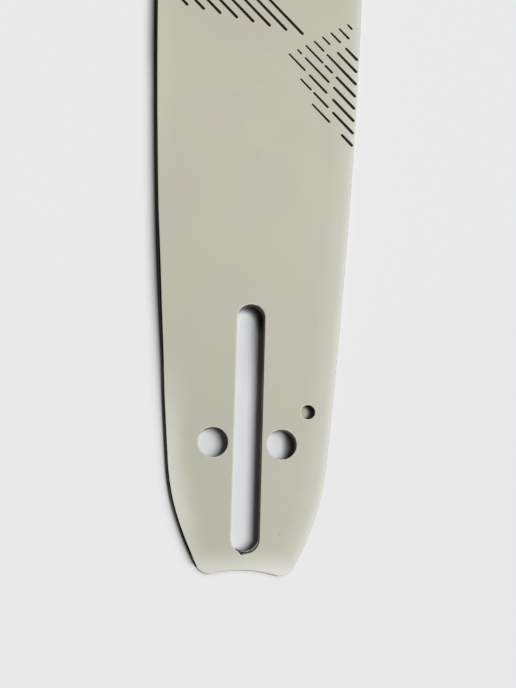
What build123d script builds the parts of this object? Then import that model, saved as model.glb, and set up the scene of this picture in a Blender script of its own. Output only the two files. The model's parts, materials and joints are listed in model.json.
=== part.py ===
"""Laminated chainsaw guide bar with a sprocket nose.

Two painted side plates are spot welded to a narrower core plate, which leaves the chain groove
open all round the edge. A star sprocket turns on rollers in the nose, round a bearing race that is
riveted between the side plates.

Frame: origin at the middle of the stud slot, on the underside. +Y runs along the bar to the nose,
+Z runs through its thickness, and the bar lies flat.
"""

import os
from math import asin, atan2, degrees, floor, pi, radians, sin, sqrt, tan

from build123d import *

# Saw mount
slot_width = 8.2  # takes the saw's 8 mm bar studs
slot_length = 74.0
tensioner_hole_diameter = 8.8
tensioner_hole_web = 1.7  # metal between the slot and a tensioner hole
tensioner_hole_y = -5.0
oil_hole_diameter = 4.2
oil_hole_y = 5.0
oil_hole_inset = 7.2  # from the rail's edge to the hole's middle
oil_way_margin = 0.3  # the core's oil way is this much wider than the hole, each side

# Chain and nose sprocket
chain_pitch = 8.255
chain_rivet_height = 5.1  # the chain's rivets run this far outside the rails
sprocket_teeth = 12
sprocket_y = 387.0
tooth_height = 0.7  # the teeth stand this far out of the nose
tooth_depth = 7.6
tooth_tip_chamfer = 0.5
gullet_radius = 3.4
gullet_flare = 24.0  # degrees that each side of a gullet opens
sprocket_side_clearance = 0.1
sprocket_core_gap = 1.2

# Outline of the side plates
belly = 6.9  # each flank's widest point stands this far outside the nose's radius
widest_y = 200.0
rear_flank_radius = 2270.0  # long curve from the widest point towards the tail
tail_turn_y = -11.0  # where the flanks start to turn in
tail_radius = 75.0  # shoulder between a flank and the tail
tail_wall = 5.0  # metal between the slot and the hollow of the tail
tail_notch_radius = 36.0  # hollow that clears the drive sprocket
tail_corner_radius = 4.5

# Laminations
side_plate_thickness = 1.4
groove_width = 1.5  # chain gauge, which is the core's thickness
groove_depth = 6.8
rail_chamfer = 0.3  # broken outer edge of the rails
core_tail_recess = 2.0  # the core stops short of the hollow

# Nose bearing and rivets
race_radius = 9.2
roller_diameter = 3.0
bearing_clearance = 0.03
rivet_count = 4
rivet_diameter = 3.4
rivet_edge = 2.3  # metal between a rivet and the race's rim
rivet_head_angle = 60.0  # the heads taper through the whole side plate
rivet_clearance = 0.03

# Worked out from the sizes above
bar_thickness = 2 * side_plate_thickness + groove_width
core_z = side_plate_thickness
front_plate_z = side_plate_thickness + groove_width

pitch_radius = chain_pitch / (2 * sin(pi / (2 * sprocket_teeth)))
nose_radius = pitch_radius - chain_rivet_height
half_width = nose_radius + belly
nose_run = sprocket_y - widest_y
front_flank_radius = (half_width**2 + nose_run**2 - nose_radius**2) / (2 * belly)
front_flank_sweep = degrees(atan2(nose_run, front_flank_radius - half_width))
rear_flank_sweep = degrees(asin((widest_y - tail_turn_y) / rear_flank_radius))
tail_notch_y = -slot_length / 2 - tail_wall
blank_end_y = tail_notch_y - 2 * tail_corner_radius
tail_end_angle = degrees(asin(sin(radians(rear_flank_sweep)) + (tail_turn_y - blank_end_y) / tail_radius))
tail_sweep = tail_end_angle - rear_flank_sweep

tensioner_hole_x = slot_width / 2 + tensioner_hole_web + tensioner_hole_diameter / 2
flank_sag_at_oil_hole = rear_flank_radius - sqrt(rear_flank_radius**2 - (widest_y - oil_hole_y) ** 2)
oil_hole_x = half_width - flank_sag_at_oil_hole - oil_hole_inset
oil_way_width = oil_hole_diameter + 2 * oil_way_margin

sprocket_tip_radius = nose_radius + tooth_height
sprocket_root_radius = sprocket_tip_radius - tooth_depth
gullet_centre = sprocket_root_radius + gullet_radius
sprocket_thickness = groove_width - 2 * sprocket_side_clearance
sprocket_plane = Plane((0, sprocket_y, core_z + sprocket_side_clearance))

roller_radius = roller_diameter / 2
roller_circle_radius = race_radius + bearing_clearance + roller_radius
roller_count = floor(pi / asin(roller_radius / roller_circle_radius))
sprocket_bore_radius = roller_circle_radius + roller_radius + bearing_clearance

rivet_radius = rivet_diameter / 2
rivet_head_radius = rivet_radius + side_plate_thickness * tan(radians(rivet_head_angle / 2))
rivet_hole_radius = rivet_radius + rivet_clearance
countersink_radius = rivet_head_radius + rivet_clearance
rivet_circle_radius = race_radius - rivet_edge - rivet_radius
first_rivet_angle = 180 / rivet_count

on_base = (Align.CENTER, Align.CENTER, Align.MIN)


def bar_blank():
    """The side plates' outline before the tail is hollowed."""
    with BuildSketch() as blank:
        with BuildLine():
            widest = (half_width, widest_y)
            rear_flank = JernArc(widest, (0, -1), rear_flank_radius, -rear_flank_sweep)
            shoulder = JernArc(rear_flank @ 1, rear_flank % 1, tail_radius, -tail_sweep)
            Line(shoulder @ 1, (0, blank_end_y))
            front_flank = JernArc(widest, (0, 1), front_flank_radius, front_flank_sweep)
            JernArc(front_flank @ 1, front_flank % 1, nose_radius, 90 - front_flank_sweep)
            mirror(about=Plane.YZ)
        make_face()
    return blank.sketch


def cut_tail(recess=0.0):
    """Hollows the tail round the drive sprocket."""
    with Locations((0, tail_notch_y - tail_notch_radius)):
        Circle(tail_notch_radius + recess, mode=Mode.SUBTRACT)


def cut_saw_mount():
    """Cuts the stud slot and the two tensioner holes, which go through all three plates."""
    SlotOverall(slot_length, slot_width, rotation=90, mode=Mode.SUBTRACT)
    with Locations((-tensioner_hole_x, tensioner_hole_y), (tensioner_hole_x, tensioner_hole_y)):
        Circle(tensioner_hole_diameter / 2, mode=Mode.SUBTRACT)


os.makedirs("parts", exist_ok=True)

# Front side plate: its oil hole feeds the groove along the +X edge
with BuildPart() as front_side_plate:
    with BuildSketch(Plane.XY.offset(front_plate_z)) as plate_profile:
        add(bar_blank())
        cut_tail()
        fillet(plate_profile.vertices().sort_by(Axis.Y)[:2], tail_corner_radius)
        cut_saw_mount()
        with Locations((oil_hole_x, oil_hole_y)):
            Circle(oil_hole_diameter / 2, mode=Mode.SUBTRACT)
    extrude(amount=side_plate_thickness)
    outer_face = front_side_plate.faces().sort_by(Axis.Z)[-1]
    chamfer(outer_face.outer_wire().edges(), rail_chamfer)
    with Locations((0, sprocket_y, front_plate_z)):
        with PolarLocations(rivet_circle_radius, rivet_count, start_angle=first_rivet_angle):
            Cone(rivet_hole_radius, countersink_radius, side_plate_thickness, align=on_base, mode=Mode.SUBTRACT)
front_side_plate.part.label = "front_side_plate"
export_step(front_side_plate.part, "parts/front_side_plate.step")

# Back side plate: the same stamping turned over about the bar's length, so the bar is reversible
with BuildPart() as back_side_plate:
    with Locations((0, 0, bar_thickness)):
        add(front_side_plate.part, rotation=(0, 180, 0))
back_side_plate.part.label = "back_side_plate"
export_step(back_side_plate.part, "parts/back_side_plate.step")

# Core plate: narrower by the groove's depth, with an oil way behind each oil hole
with BuildPart() as core_plate:
    with BuildSketch(Plane.XY.offset(core_z)):
        add(bar_blank())
        offset(amount=-groove_depth)
        cut_tail(core_tail_recess)
        cut_saw_mount()
        for side in (-1, 1):
            with Locations((side * oil_hole_x, oil_hole_y)):
                Circle(oil_way_width / 2, mode=Mode.SUBTRACT)
            with Locations((side * (oil_hole_x + groove_depth / 2), oil_hole_y)):
                Rectangle(groove_depth, oil_way_width, mode=Mode.SUBTRACT)
        with Locations((0, sprocket_y)):
            Circle(sprocket_tip_radius + sprocket_core_gap, mode=Mode.SUBTRACT)
    extrude(amount=groove_width)
core_plate.part.label = "core_plate"
export_step(core_plate.part, "parts/core_plate.step")

# Nose sprocket: round-bottomed gullets take the chain's drive links
with BuildSketch() as gullet:
    with BuildLine():
        gullet_floor = CenterArc((gullet_centre, 0), gullet_radius, 90 + gullet_flare, 180 - 2 * gullet_flare)
        leading_side = PolarLine(gullet_floor @ 0, tooth_depth, gullet_flare)
        trailing_side = PolarLine(gullet_floor @ 1, tooth_depth, -gullet_flare)
        Line(leading_side @ 1, trailing_side @ 1)
    make_face()
with BuildPart() as nose_sprocket:
    with BuildSketch(sprocket_plane) as sprocket_profile:
        Circle(sprocket_tip_radius)
        with PolarLocations(0, sprocket_teeth, start_angle=180 / sprocket_teeth):
            add(gullet.sketch, mode=Mode.SUBTRACT)
        chamfer(sprocket_profile.vertices().group_by(SortBy.DISTANCE)[-1], tooth_tip_chamfer)
        Circle(sprocket_bore_radius, mode=Mode.SUBTRACT)
    extrude(amount=sprocket_thickness)
nose_sprocket.part.label = "nose_sprocket"
export_step(nose_sprocket.part, "parts/nose_sprocket.step")

# Bearing race: clamped between the side plates, with the rivets passing through it
with BuildPart() as bearing_race:
    with BuildSketch(Plane((0, sprocket_y, core_z))):
        Circle(race_radius)
        with PolarLocations(rivet_circle_radius, rivet_count, start_angle=first_rivet_angle):
            Circle(rivet_hole_radius, mode=Mode.SUBTRACT)
    extrude(amount=groove_width)
bearing_race.part.label = "bearing_race"
export_step(bearing_race.part, "parts/bearing_race.step")

# Bearing rollers: a full set, as many as fit round the race
for number in range(roller_count):
    with BuildPart(sprocket_plane) as bearing_roller:
        with PolarLocations(roller_circle_radius, 1, start_angle=360 * number / roller_count):
            Cylinder(roller_radius, sprocket_thickness, align=on_base)
    bearing_roller.part.label = f"bearing_roller_{number + 1:02d}"
    export_step(bearing_roller.part, f"parts/bearing_roller_{number + 1:02d}.step")

# Nose rivets: countersunk heads, flush with both faces
with BuildPart(Plane((0, sprocket_y, 0))) as nose_rivets:
    with PolarLocations(rivet_circle_radius, rivet_count, start_angle=first_rivet_angle):
        Cone(rivet_head_radius, rivet_radius, side_plate_thickness, align=on_base)
        with Locations((0, 0, core_z)):
            Cylinder(rivet_radius, groove_width, align=on_base)
        with Locations((0, 0, front_plate_z)):
            Cone(rivet_radius, rivet_head_radius, side_plate_thickness, align=on_base)
nose_rivets.part.label = "nose_rivets"
export_step(nose_rivets.part, "parts/nose_rivets.step")
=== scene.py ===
"""Chainsaw guide bar: paint, print, bare steel and a plain stage for the packed model."""

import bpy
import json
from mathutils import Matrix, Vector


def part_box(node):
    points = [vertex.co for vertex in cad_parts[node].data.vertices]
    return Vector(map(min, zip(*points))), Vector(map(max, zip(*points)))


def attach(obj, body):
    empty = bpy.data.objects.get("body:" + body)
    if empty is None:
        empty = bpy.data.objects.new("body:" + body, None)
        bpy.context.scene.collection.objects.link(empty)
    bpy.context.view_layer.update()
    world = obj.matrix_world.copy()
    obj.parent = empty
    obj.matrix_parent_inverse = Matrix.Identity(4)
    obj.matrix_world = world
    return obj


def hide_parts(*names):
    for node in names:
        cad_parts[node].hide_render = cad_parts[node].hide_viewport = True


bl_info = {
    "name": "Chainsaw Guide Bar",
    "version": (1, 0, 0),
    "blender": (4, 5, 0),
    "location": "View3D > Sidebar > Guide Bar",
    "description": "Paints, prints and lights a laminated chainsaw guide bar with a sprocket nose",
    "category": "Object",
}

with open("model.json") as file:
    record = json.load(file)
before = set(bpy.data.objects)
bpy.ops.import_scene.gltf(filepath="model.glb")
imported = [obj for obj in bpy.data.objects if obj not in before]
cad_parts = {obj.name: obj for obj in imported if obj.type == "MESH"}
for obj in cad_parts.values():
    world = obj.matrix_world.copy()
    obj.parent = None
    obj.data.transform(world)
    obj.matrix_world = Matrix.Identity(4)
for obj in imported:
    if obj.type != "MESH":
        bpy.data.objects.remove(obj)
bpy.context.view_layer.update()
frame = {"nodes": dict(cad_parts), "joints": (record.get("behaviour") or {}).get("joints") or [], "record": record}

import json
from math import asin, atan2, ceil, cos, hypot, pi, radians, sin, sqrt, tan
from types import SimpleNamespace

import bpy
import numpy as np
from bpy.props import FloatProperty, FloatVectorProperty, IntProperty, PointerProperty
from bpy.types import Operator, Panel, PropertyGroup
from mathutils import Matrix, Vector
from mathutils.geometry import tessellate_polygon

# The packed model
MOUNTS = {mount["name"]: mount for mount in frame["record"]["mounts"]}
JOINTS = {joint["name"]: joint for joint in frame["joints"]}
PLATE_LOW, PLATE_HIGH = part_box("front_side_plate")
HALF_WIDTH = PLATE_HIGH.x
INNER_FACE, OUTER_FACE = PLATE_LOW.z, PLATE_HIGH.z
NOSE_Y = JOINTS["sprocket_spin"]["pos_m"][1]
NOSE_RADIUS = PLATE_HIGH.y - NOSE_Y
ROLLERS = sorted(name for name in frame["nodes"] if name.startswith("bearing_roller"))

# Fineness of the meshes
CHORD_ERROR = 1.5e-6  # metres that a facet may lie inside its arc
LEAST_ARC_STEPS = 3
RIM_STEPS = 5
TEAR_STEPS = 220
DISH_STEPS, RIVET_TURNS = 8, 48
NIB_RINGS, NIB_TURNS = 6, 16
INK_END_STEPS = 6

# Faces of a side plate, in the order of its materials
PAINTED, RIM, RAIL, CUT, INSIDE = range(5)


def length(name, description, default):
    """A size in metres."""
    return FloatProperty(name=name, description=description, default=default, unit="LENGTH", precision=5)


def colour(name, description, default):
    """A linear colour."""
    return FloatVectorProperty(
        name=name, description=description, default=default, subtype="COLOR", size=3, min=0.0, max=1.0
    )


def turn(name, description, default):
    """An angle in radians."""
    return FloatProperty(name=name, description=description, default=default, unit="ROTATION")


def share(name, description, default):
    """A share of a whole."""
    return FloatProperty(name=name, description=description, default=default, subtype="FACTOR")


def brightness(name, description, default):
    """Strength of a light."""
    return FloatProperty(name=name, description=description, default=default, min=0.0)


def whole(name, description, default, least=1):
    """A whole number."""
    return IntProperty(name=name, description=description, default=default, min=least)


class GuideBarPlateSizes(PropertyGroup):
    """Outline and edges of the side plates."""

    widest_y: length("Widest point", "Distance of the widest point from the slot's middle", 0.200)
    flank_radius: length("Flank radius", "Long curve from the widest point to the tail", 2.270)
    turn_y: length("Shoulder start", "Where the flanks start to turn in", -0.011)
    shoulder_radius: length("Shoulder radius", "Curve between a flank and the tail", 0.075)
    hollow_y: length("Hollow's middle", "Middle of the hollow in the tail", -0.042)
    hollow_radius: length("Hollow radius", "Hollow that clears the drive sprocket", 0.036)
    corner_radius: length("Tail corner", "Rounding of the two tail corners", 0.0045)
    slot_width: length("Slot width", "Width of the stud slot", 0.0082)
    slot_length: length("Slot length", "Overall length of the stud slot", 0.074)
    rail_rim: length("Rail rim", "Rounding of the outer edge along the rails", 0.00030)
    hole_rim: length("Hole rim", "Rounding where the holes were punched", 0.00014)
    inner_rim: length("Inner rim", "Rounding of the edges beside the core", 0.00006)
    land: length("Land", "Flat strip between a rim and the face", 0.00035)


class GuideBarNoseSizes(PropertyGroup):
    """Rivets in the nose."""

    rivet_count: whole("Rivets", "Rivets round the bearing race", 4)
    rivet_circle: length("Rivet circle", "Radius of the circle that the rivets stand on", 0.0052)
    head_radius: length("Head radius", "Radius of a rivet's head at the plate's face", 0.002508)
    shank_radius: length("Shank radius", "Radius of a rivet between the heads", 0.0017)
    seam: length("Seam", "Gap between a rivet's head and its countersink", 0.00003)
    head_dish: length("Head dish", "Depth of the hollow that the peening leaves", 0.00003)
    head_rim: length("Head rim", "Rounding at the edge of a rivet's head", 0.00016)


class GuideBarPrintSizes(PropertyGroup):
    """Printed hatch on the front face."""

    pitch: length("Hatch pitch", "Distance between neighbouring lines, square to them", 0.0030)
    line_width: length("Line width", "Width of a printed line at its right end", 0.00100)
    taper: share("Taper", "A line's width at its left end, as a share", 0.62)
    film: length("Ink film", "Height of the ink above the paint", 0.000012)
    angle: turn("Hatch angle", "Direction of the lines, from the bar's width", -pi / 4)
    foot_y: length("Hatch foot", "Where the lowest line meets the edge", 0.0885)
    right_tip_x: length("Right tip", "Tip of the right wedge, across the bar", 0.0095)
    left_tip_x: length("Left tip", "Tip of the left wedge, across the bar", 0.0140)
    left_tip_y: length("Left tip's height", "Tip of the left wedge, along the bar", 0.1248)
    left_lines: whole("Left lines", "Lines in the left wedge", 10)
    right_lines: whole("Right lines", "Lines in the right wedge", 12)
    gap: length("Break", "Middling length of the breaks in the lines", 0.0011)
    seed: whole("Seed", "Start of the random breaks", 7, least=0)


class GuideBarNibSizes(PropertyGroup):
    """Nibs where dust was painted over."""

    count: whole("Nibs", "Nibs on the front face", 16)
    seed: whole("Seed", "Start of the random places", 5, least=0)
    radius: length("Radius", "Radius of the largest nib", 0.00042)
    height: length("Height", "Height of the largest nib", 0.00005)


class GuideBarColours(PropertyGroup):
    """Colours of the paint, ink, steel and stage."""

    paint: colour("Paint", "Main colour of the side plates", (0.464, 0.467, 0.361))
    paint_warm: colour("Warm paint", "Colour of the warmer patches of the paint", (0.464, 0.448, 0.369))
    # Darker paint, in patches towards the tail
    paint_darker: colour("Dull paint", "Paint rubbed dull round the saw's mount", (0.388, 0.386, 0.304))
    # Paler paint, painted as a highlight along the edges, the rims and the tail
    paint_highlight: colour("Paint edge", "Colour of the thin paint along the edges", (0.665, 0.665, 0.610))
    paint_rim: colour("Painted rim", "Paint on the rim of the right rail", (0.466, 0.466, 0.425))
    ink: colour("Ink", "Printed hatch", (0.007, 0.007, 0.006))
    steel: colour("Steel", "Bare ground steel", (0.430, 0.420, 0.405))
    dark_steel: colour("Dark steel", "Steel with its rolling scale", (0.135, 0.120, 0.105))
    temper: colour("Temper brown", "Brown left by hardening the rails", (0.105, 0.040, 0.026))
    # Brown-black painted as shade: along the left edge, on the left rail and on the plates' inner faces
    shade_brown_black: colour("Scorched rim", "Rim that hardening left nearly black", (0.0060, 0.0028, 0.0021))
    # Black painted as shade: along the slot's right edge, in the chip at its torn end and beside the burr's crest
    shade_black: colour("Soot", "Oily black at the slot's torn end and rubbed edge", (0.017, 0.018, 0.015))
    temper_blue: colour("Temper blue", "Blue left by hardening the tooth tips", (0.075, 0.085, 0.125))
    floor: colour("Floor", "Floor round the bar", (0.812, 0.812, 0.816))
    # Floor seen through the slot, duller as painted shade
    floor_below_shade: colour("Floor below", "Floor seen through the bar's slot", (0.660, 0.668, 0.686))
    floor_shade: colour("Floor in shade", "Floor seen through the bar's holes", (0.610, 0.618, 0.634))


class GuideBarStage(PropertyGroup):
    """Camera and light."""

    lens: FloatProperty(
        name="Lens", description="Focal length on a 36 mm frame", default=68.02, subtype="DISTANCE_CAMERA"
    )
    eye: FloatVectorProperty(
        name="Eye", description="Camera's place", default=(-0.039496, -0.049311, 0.384251), unit="LENGTH"
    )
    lean_x: turn("Lean in X", "Angle of the camera's axis from the vertical, along X", -0.109472)
    lean_y: turn("Lean in Y", "Angle of the camera's axis from the vertical, along Y", -0.192935)
    roll: turn("Roll", "Turn of the camera round its axis", 0.027356)
    key_azimuth: turn("Key azimuth", "Direction of the window light, from +X to +Y", radians(3))
    key_height: turn("Key height", "Height of the window light above the floor", radians(59.5))
    key_spread: turn("Key spread", "Angle that the window light fills", radians(34))
    key_strength: brightness("Key strength", "Strength of the window light", 3.60)
    fill: brightness("Fill", "Even light from all round", 0.022)
    backdrop: brightness("Backdrop", "Brightness of the backdrop", 0.82)
    glow: share("Floor glow", "Share of the floor's light that no shadow takes", 0.50)
    glow_from: length("Glow start", "Distance outside the bar where the glow starts", 0.00058)
    glow_run: length("Glow run", "Distance over which most of the glow comes in", 0.00080)
    tail_glow: share("Tail glow", "Floor glow at the tail", 0.97)
    tail_glow_from: length("Tail glow start", "Distance outside the tail where the glow starts", -0.00015)


def spokes(angle):
    """Unit steps in the directions of angles from +X, as (cos a, sin a)."""
    return np.column_stack((np.cos(angle), np.sin(angle)))


def bearing(step):
    """Angle of a step from +X."""
    return atan2(step[1], step[0])


def joined(runs):
    """Several runs of the same arrays, put end to end array by array."""
    return tuple(np.concatenate(parts) for parts in zip(*runs))


def circles_meet(first, first_radius, second, second_radius):
    """The point that lies a radius from each of two centres, on the side of larger X and Y.

    It stands on the line between the centres, a share along from the first that the radii give, and then
    square to that line.
    """
    step = second - first
    apart = hypot(*step)
    along = (apart**2 + first_radius**2 - second_radius**2) / (2 * apart)
    across = sqrt(first_radius**2 - along**2)
    ahead = step / apart
    square = np.array((-ahead[1], ahead[0]))
    return first + along * ahead + across * square


def bar_arcs(sizes):
    """Centres, radii and angles of the tangent arcs that make up one half of the plate's edge.

    The flank's two arcs meet at the widest point. The rear one turns into the shoulder, whose circle the
    corner's circle touches from inside, while it touches the hollow's circle from outside.
    """
    run = NOSE_Y - sizes.widest_y
    belly = HALF_WIDTH - NOSE_RADIUS
    front_radius = (HALF_WIDTH**2 + run**2 - NOSE_RADIUS**2) / (2 * belly)
    rear_sweep = asin((sizes.widest_y - sizes.turn_y) / sizes.flank_radius)
    front_sweep = atan2(run, front_radius - HALF_WIDTH)
    rear = np.array((HALF_WIDTH - sizes.flank_radius, sizes.widest_y))
    heading = np.array((cos(rear_sweep), -sin(rear_sweep)))
    shoulder = rear + (sizes.flank_radius - sizes.shoulder_radius) * heading
    hollow = np.array((0.0, sizes.hollow_y - sizes.hollow_radius))
    corner = circles_meet(
        shoulder,
        sizes.shoulder_radius - sizes.corner_radius,
        hollow,
        sizes.hollow_radius + sizes.corner_radius,
    )
    return SimpleNamespace(
        rear=rear,
        rear_sweep=rear_sweep,
        front=np.array((HALF_WIDTH - front_radius, sizes.widest_y)),
        front_radius=front_radius,
        front_sweep=front_sweep,
        nose=np.array((0.0, NOSE_Y)),
        nose_start_y=NOSE_Y + NOSE_RADIUS * sin(front_sweep),
        shoulder=shoulder,
        shoulder_end=bearing(corner - shoulder),
        hollow=hollow,
        hollow_end=bearing(corner - hollow),
        corner=corner,
    )


def arc(centre, radius, start, end, hollow=False, steps=None):
    """Points on a circle and the directions that lead out of the metal there.

    A point is the centre plus the radius times (cos a, sin a), where the angle a goes in even steps from
    start to end. The end itself is left to the next arc. Round a hollow, out of the metal is towards the
    centre.
    """
    if steps is None:
        widest_step = 2 * sqrt(2 * CHORD_ERROR / radius)
        steps = max(LEAST_ARC_STEPS, ceil(abs(end - start) / widest_step))
    spoke = spokes(np.linspace(start, end, steps, endpoint=False))
    return np.asarray(centre) + radius * spoke, -spoke if hollow else spoke


def plate_edge(sizes):
    """The plate's whole edge, counterclockwise: one half from hollow to nose, then its mirror image."""
    shape = bar_arcs(sizes)
    half = joined(
        (
            arc(shape.hollow, sizes.hollow_radius, pi / 2, shape.hollow_end, hollow=True),
            arc(shape.corner, sizes.corner_radius, shape.hollow_end - pi, shape.shoulder_end),
            arc(shape.shoulder, sizes.shoulder_radius, shape.shoulder_end, -shape.rear_sweep),
            arc(shape.rear, sizes.flank_radius, -shape.rear_sweep, 0.0),
            arc(shape.front, shape.front_radius, 0.0, shape.front_sweep),
            arc(shape.nose, NOSE_RADIUS, shape.front_sweep, pi / 2),
            (np.array([(0.0, NOSE_Y + NOSE_RADIUS)]), np.array([(0.0, 1.0)])),
        )
    )
    mirror = np.array((-1.0, 1.0))
    return tuple(np.concatenate((part, part[-2:0:-1] * mirror)) for part in half)


def round_hole(centre, radius):
    """A hole's edge, clockwise."""
    return arc(centre, radius, 2 * pi, 0.0, hollow=True)


def mount_hole(name):
    """Edge of the hole that a mount of the record names."""
    mount = MOUNTS[name]
    return round_hole(mount["pos_m"][:2], mount["dims"]["r_mm"] / 1000)


def ragged(angle, waves):
    """Torn edge between 0 and 1: the mean of the absolute values of sine waves of unlike lengths."""
    return sum(np.abs(np.sin(count * angle + count)) for count in waves) / len(waves)


def swell(angle, start, end):
    """0 outside the two angles, and between them the square root of half a sine wave, which rises to 1."""
    part = np.clip((angle - start) / (end - start), 0.0, 1.0)
    return np.sqrt(np.sin(pi * part))


TEAR_START, TEAR_END = radians(-128), radians(8)
TEAR_WAVES = (5, 9, 16, 31)
TEAR_DEPTH = 0.00030
CHIP_ANGLE, CHIP_WIDTH, CHIP_DEPTH = radians(-101), radians(10), 0.00058


def torn_back(angle):
    """Depth of the tear at the slot's rear end: ragged between two angles, with one bell-shaped chip."""
    tear = TEAR_DEPTH * ragged(angle, TEAR_WAVES) * swell(angle, TEAR_START, TEAR_END)
    return tear + CHIP_DEPTH * np.exp(-(((angle - CHIP_ANGLE) / CHIP_WIDTH) ** 2))


def slot_ends(sizes):
    """Radius of the stud slot's round ends, and the distance of their middles from its own."""
    radius = sizes.slot_width / 2
    return radius, sizes.slot_length / 2 - radius


def slot_edge(sizes, torn):
    """The stud slot's edge, clockwise: two half circles and straight sides. The rear end may be torn."""
    radius, reach = slot_ends(sizes)
    front = arc((0.0, reach), radius, pi, 0.0, hollow=True)
    right = np.array([(radius, reach)]), np.array([(-1.0, 0.0)])
    rear, inward = arc((0.0, -reach), radius, 0.0, -pi, hollow=True, steps=TEAR_STEPS)
    if torn:
        angle = np.linspace(0.0, -pi, TEAR_STEPS, endpoint=False)
        rear = rear - inward * torn_back(angle)[:, None]
    left = np.array([(-radius, -reach)]), np.array([(1.0, 0.0)])
    return joined((front, right, (rear, inward), left))


def edge_section(rim, inner_rim, land, taper=0.0):
    """Section of a plate's edge, as (distance out, height) from its outer face to its inner face.

    It runs over a short flat land, a quarter round, the wall, a smaller quarter round and a second land. A
    taper moves the wall out in proportion to the depth.
    """
    angle = np.linspace(0.0, pi / 2, RIM_STEPS + 1)
    upper = np.column_stack((rim * (np.sin(angle) - 1), OUTER_FACE - rim * (1 - np.cos(angle))))
    lower = np.column_stack((inner_rim * (np.cos(angle) - 1), INNER_FACE + inner_rim * (1 - np.sin(angle))))
    section = np.vstack(((-rim - land, OUTER_FACE), upper, lower, (-inner_rim - land, INNER_FACE)))
    section[:, 0] += taper * (OUTER_FACE - section[:, 1]) / (OUTER_FACE - INNER_FACE)
    return section


def highlight_rim(section, bright):
    """1 at the points of an edge section on its outer rim, if that gets the painted highlight, and 0 elsewhere."""
    column = np.arange(len(section))
    return np.where((column > 0) & (column <= RIM_STEPS + 1) & bright, 1.0, 0.0)


def section_zones(rim, wall):
    """The material of each strip of an edge section: a painted land, its rim, its wall and its inside."""
    return np.array([PAINTED] + [rim] * RIM_STEPS + [wall] + [INSIDE] * (RIM_STEPS + 1))


TAIL_PAINT_Y = -0.0413  # the rails are ground back to here


def edge_zones(edge, wall):
    """Materials of the strips along an edge: rails have rims, and the tail's hollow is painted."""
    zones = np.tile(section_zones(RIM if wall == RAIL else PAINTED, wall), (len(edge), 1))
    if wall == RAIL:
        zones[edge[:, 1] < TAIL_PAINT_Y] = section_zones(PAINTED, PAINTED)
    return zones.ravel()


def carry_round(points, outward, section):
    """A section carried round a closed edge: each point is the edge's, moved outward, at its height."""
    plan = points[:, None, :] + outward[:, None, :] * section[None, :, :1]
    height = np.broadcast_to(section[:, 1], plan.shape[:2])
    return np.dstack((plan, height))


def grid_faces(rows, columns, closed_columns=False):
    """Four-cornered faces between neighbours on a grid of points. The last row joins the first."""
    row = np.arange(rows)[:, None]
    column = np.arange(columns if closed_columns else columns - 1)[None, :]
    next_row, next_column = (row + 1) % rows, (column + 1) % columns
    corners = (
        row * columns + column,
        row * columns + next_column,
        next_row * columns + next_column,
        next_row * columns + column,
    )
    return np.stack(np.broadcast_arrays(*corners), axis=-1).reshape(-1, 4)


def rod_faces(rows, columns):
    """Faces of a closed section carried along an open path, with one face at each end."""
    sides = grid_faces(rows, columns, closed_columns=True)[: (rows - 1) * columns, ::-1]
    corners = np.arange(rows * columns)
    return [*sides.tolist(), corners[:columns].tolist(), corners[-columns:][::-1].tolist()]


def turned(section, turns):
    """Points and faces of a half section turned round the Z axis, with one small face at each of its ends.

    A point is the section's distance times (cos a, sin a), at the section's height.
    """
    around = spokes(np.linspace(0.0, 2 * pi, turns, endpoint=False))
    points = carry_round(np.zeros((turns, 2)), around, section).reshape(-1, 3)
    first = np.arange(turns) * len(section)
    last = first[::-1] + len(section) - 1
    return points, [*grid_faces(turns, len(section)).tolist(), first.tolist(), last.tolist()]


def repeated(faces, count, points):
    """Faces of a shape for so many copies of it, each with so many points."""
    firsts = range(0, count * points, points)
    return [[first + corner for corner in face] for first in firsts for face in faces]


def fill_flat(points, rings, up):
    """Triangles that fill a flat face between its outer ring and its holes', facing up or down."""
    found = tessellate_polygon([points[ring].tolist() for ring in rings])
    triangles = np.concatenate(rings)[np.array(found)]
    a, b, c = (points[triangles[:, corner], :2] for corner in range(3))
    rising = (b - a)[:, 0] * (c - a)[:, 1] - (b - a)[:, 1] * (c - a)[:, 0] > 0
    return np.where((rising == up)[:, None], triangles, triangles[:, ::-1])


PLATE_MOUNTS = "tensioner_hole_left", "tensioner_hole_right", "oil_inlet_front"


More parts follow.
